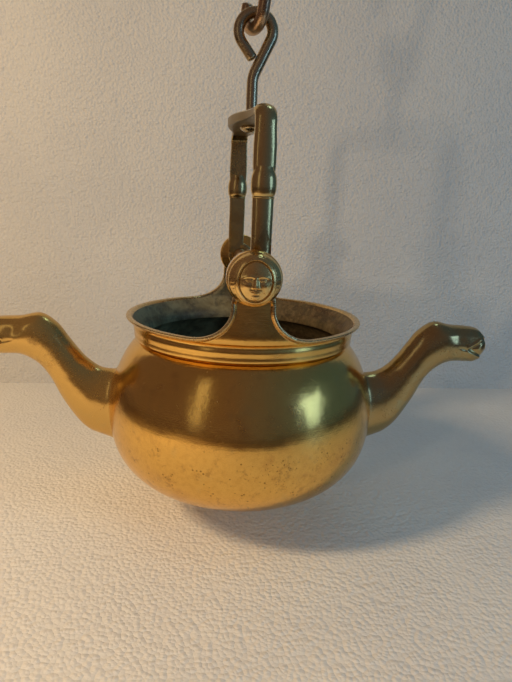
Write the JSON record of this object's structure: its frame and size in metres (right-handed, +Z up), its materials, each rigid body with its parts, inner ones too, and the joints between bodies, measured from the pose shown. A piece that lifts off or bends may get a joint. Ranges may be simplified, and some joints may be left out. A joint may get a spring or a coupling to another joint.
{
  "type": "hanging lavabo",
  "caption": "Hanging cast-brass hand-washing kettle: round belly, open mouth, beast-head spouts each side, swinging bail, swivel eye and hook.",
  "frame": {"origin": "the point inside the crown of the hook's upper bend where the rail bears, on the line the kettle hangs in", "axes": "+Z up, +X along the right spout, +Y towards the back lug"},
  "size_m": [0.331, 0.174, 0.3462],
  "materials": {
    "vessel_brass": "old polished cast brass with fine scratches and pits, dark patina inside",
    "spout_brass": "old polished cast brass, worn smooth",
    "face_brass": "worn polished brass, reddish",
    "pin_brass": "riveted brass",
    "bail_bronze": "dark brown patina, polished on the outside",
    "wire_bronze": "dark drawn wire, lightly worn",
    "hook_bronze": "brown bronze wire"
  },
  "bodies": {
    "hook": {"suspension_hook": "hook_bronze"},
    "eye": {"swivel_eye": "wire_bronze", "swivel_collar": "wire_bronze"},
    "bail": {"bail": "bail_bronze"},
    "kettle": {"vessel": "vessel_brass", "spout_right": "spout_brass", "spout_left": "spout_brass", "face_front": "face_brass", "face_back": "face_brass", "pivot_pin_front": "pin_brass", "pivot_pin_back": "pin_brass"}
  },
  "joints": [
    {"name": "eye_swing", "type": "hinge", "parent": "hook", "child": "eye", "pos_m": [0, 0, -0.0519], "axis": [-0.4067, 0.9135, 0], "range_deg": [-18, 18]},
    {"name": "bail_swivel", "type": "hinge", "parent": "eye", "child": "bail", "pos_m": [0, 0, -0.1035], "axis": [0, 0, 1], "continuous": true},
    {"name": "kettle_tilt", "type": "hinge", "parent": "bail", "child": "kettle", "pos_m": [0, 0, -0.189], "axis": [0, 1, 0], "range_deg": [-85, 85]}
  ]
}
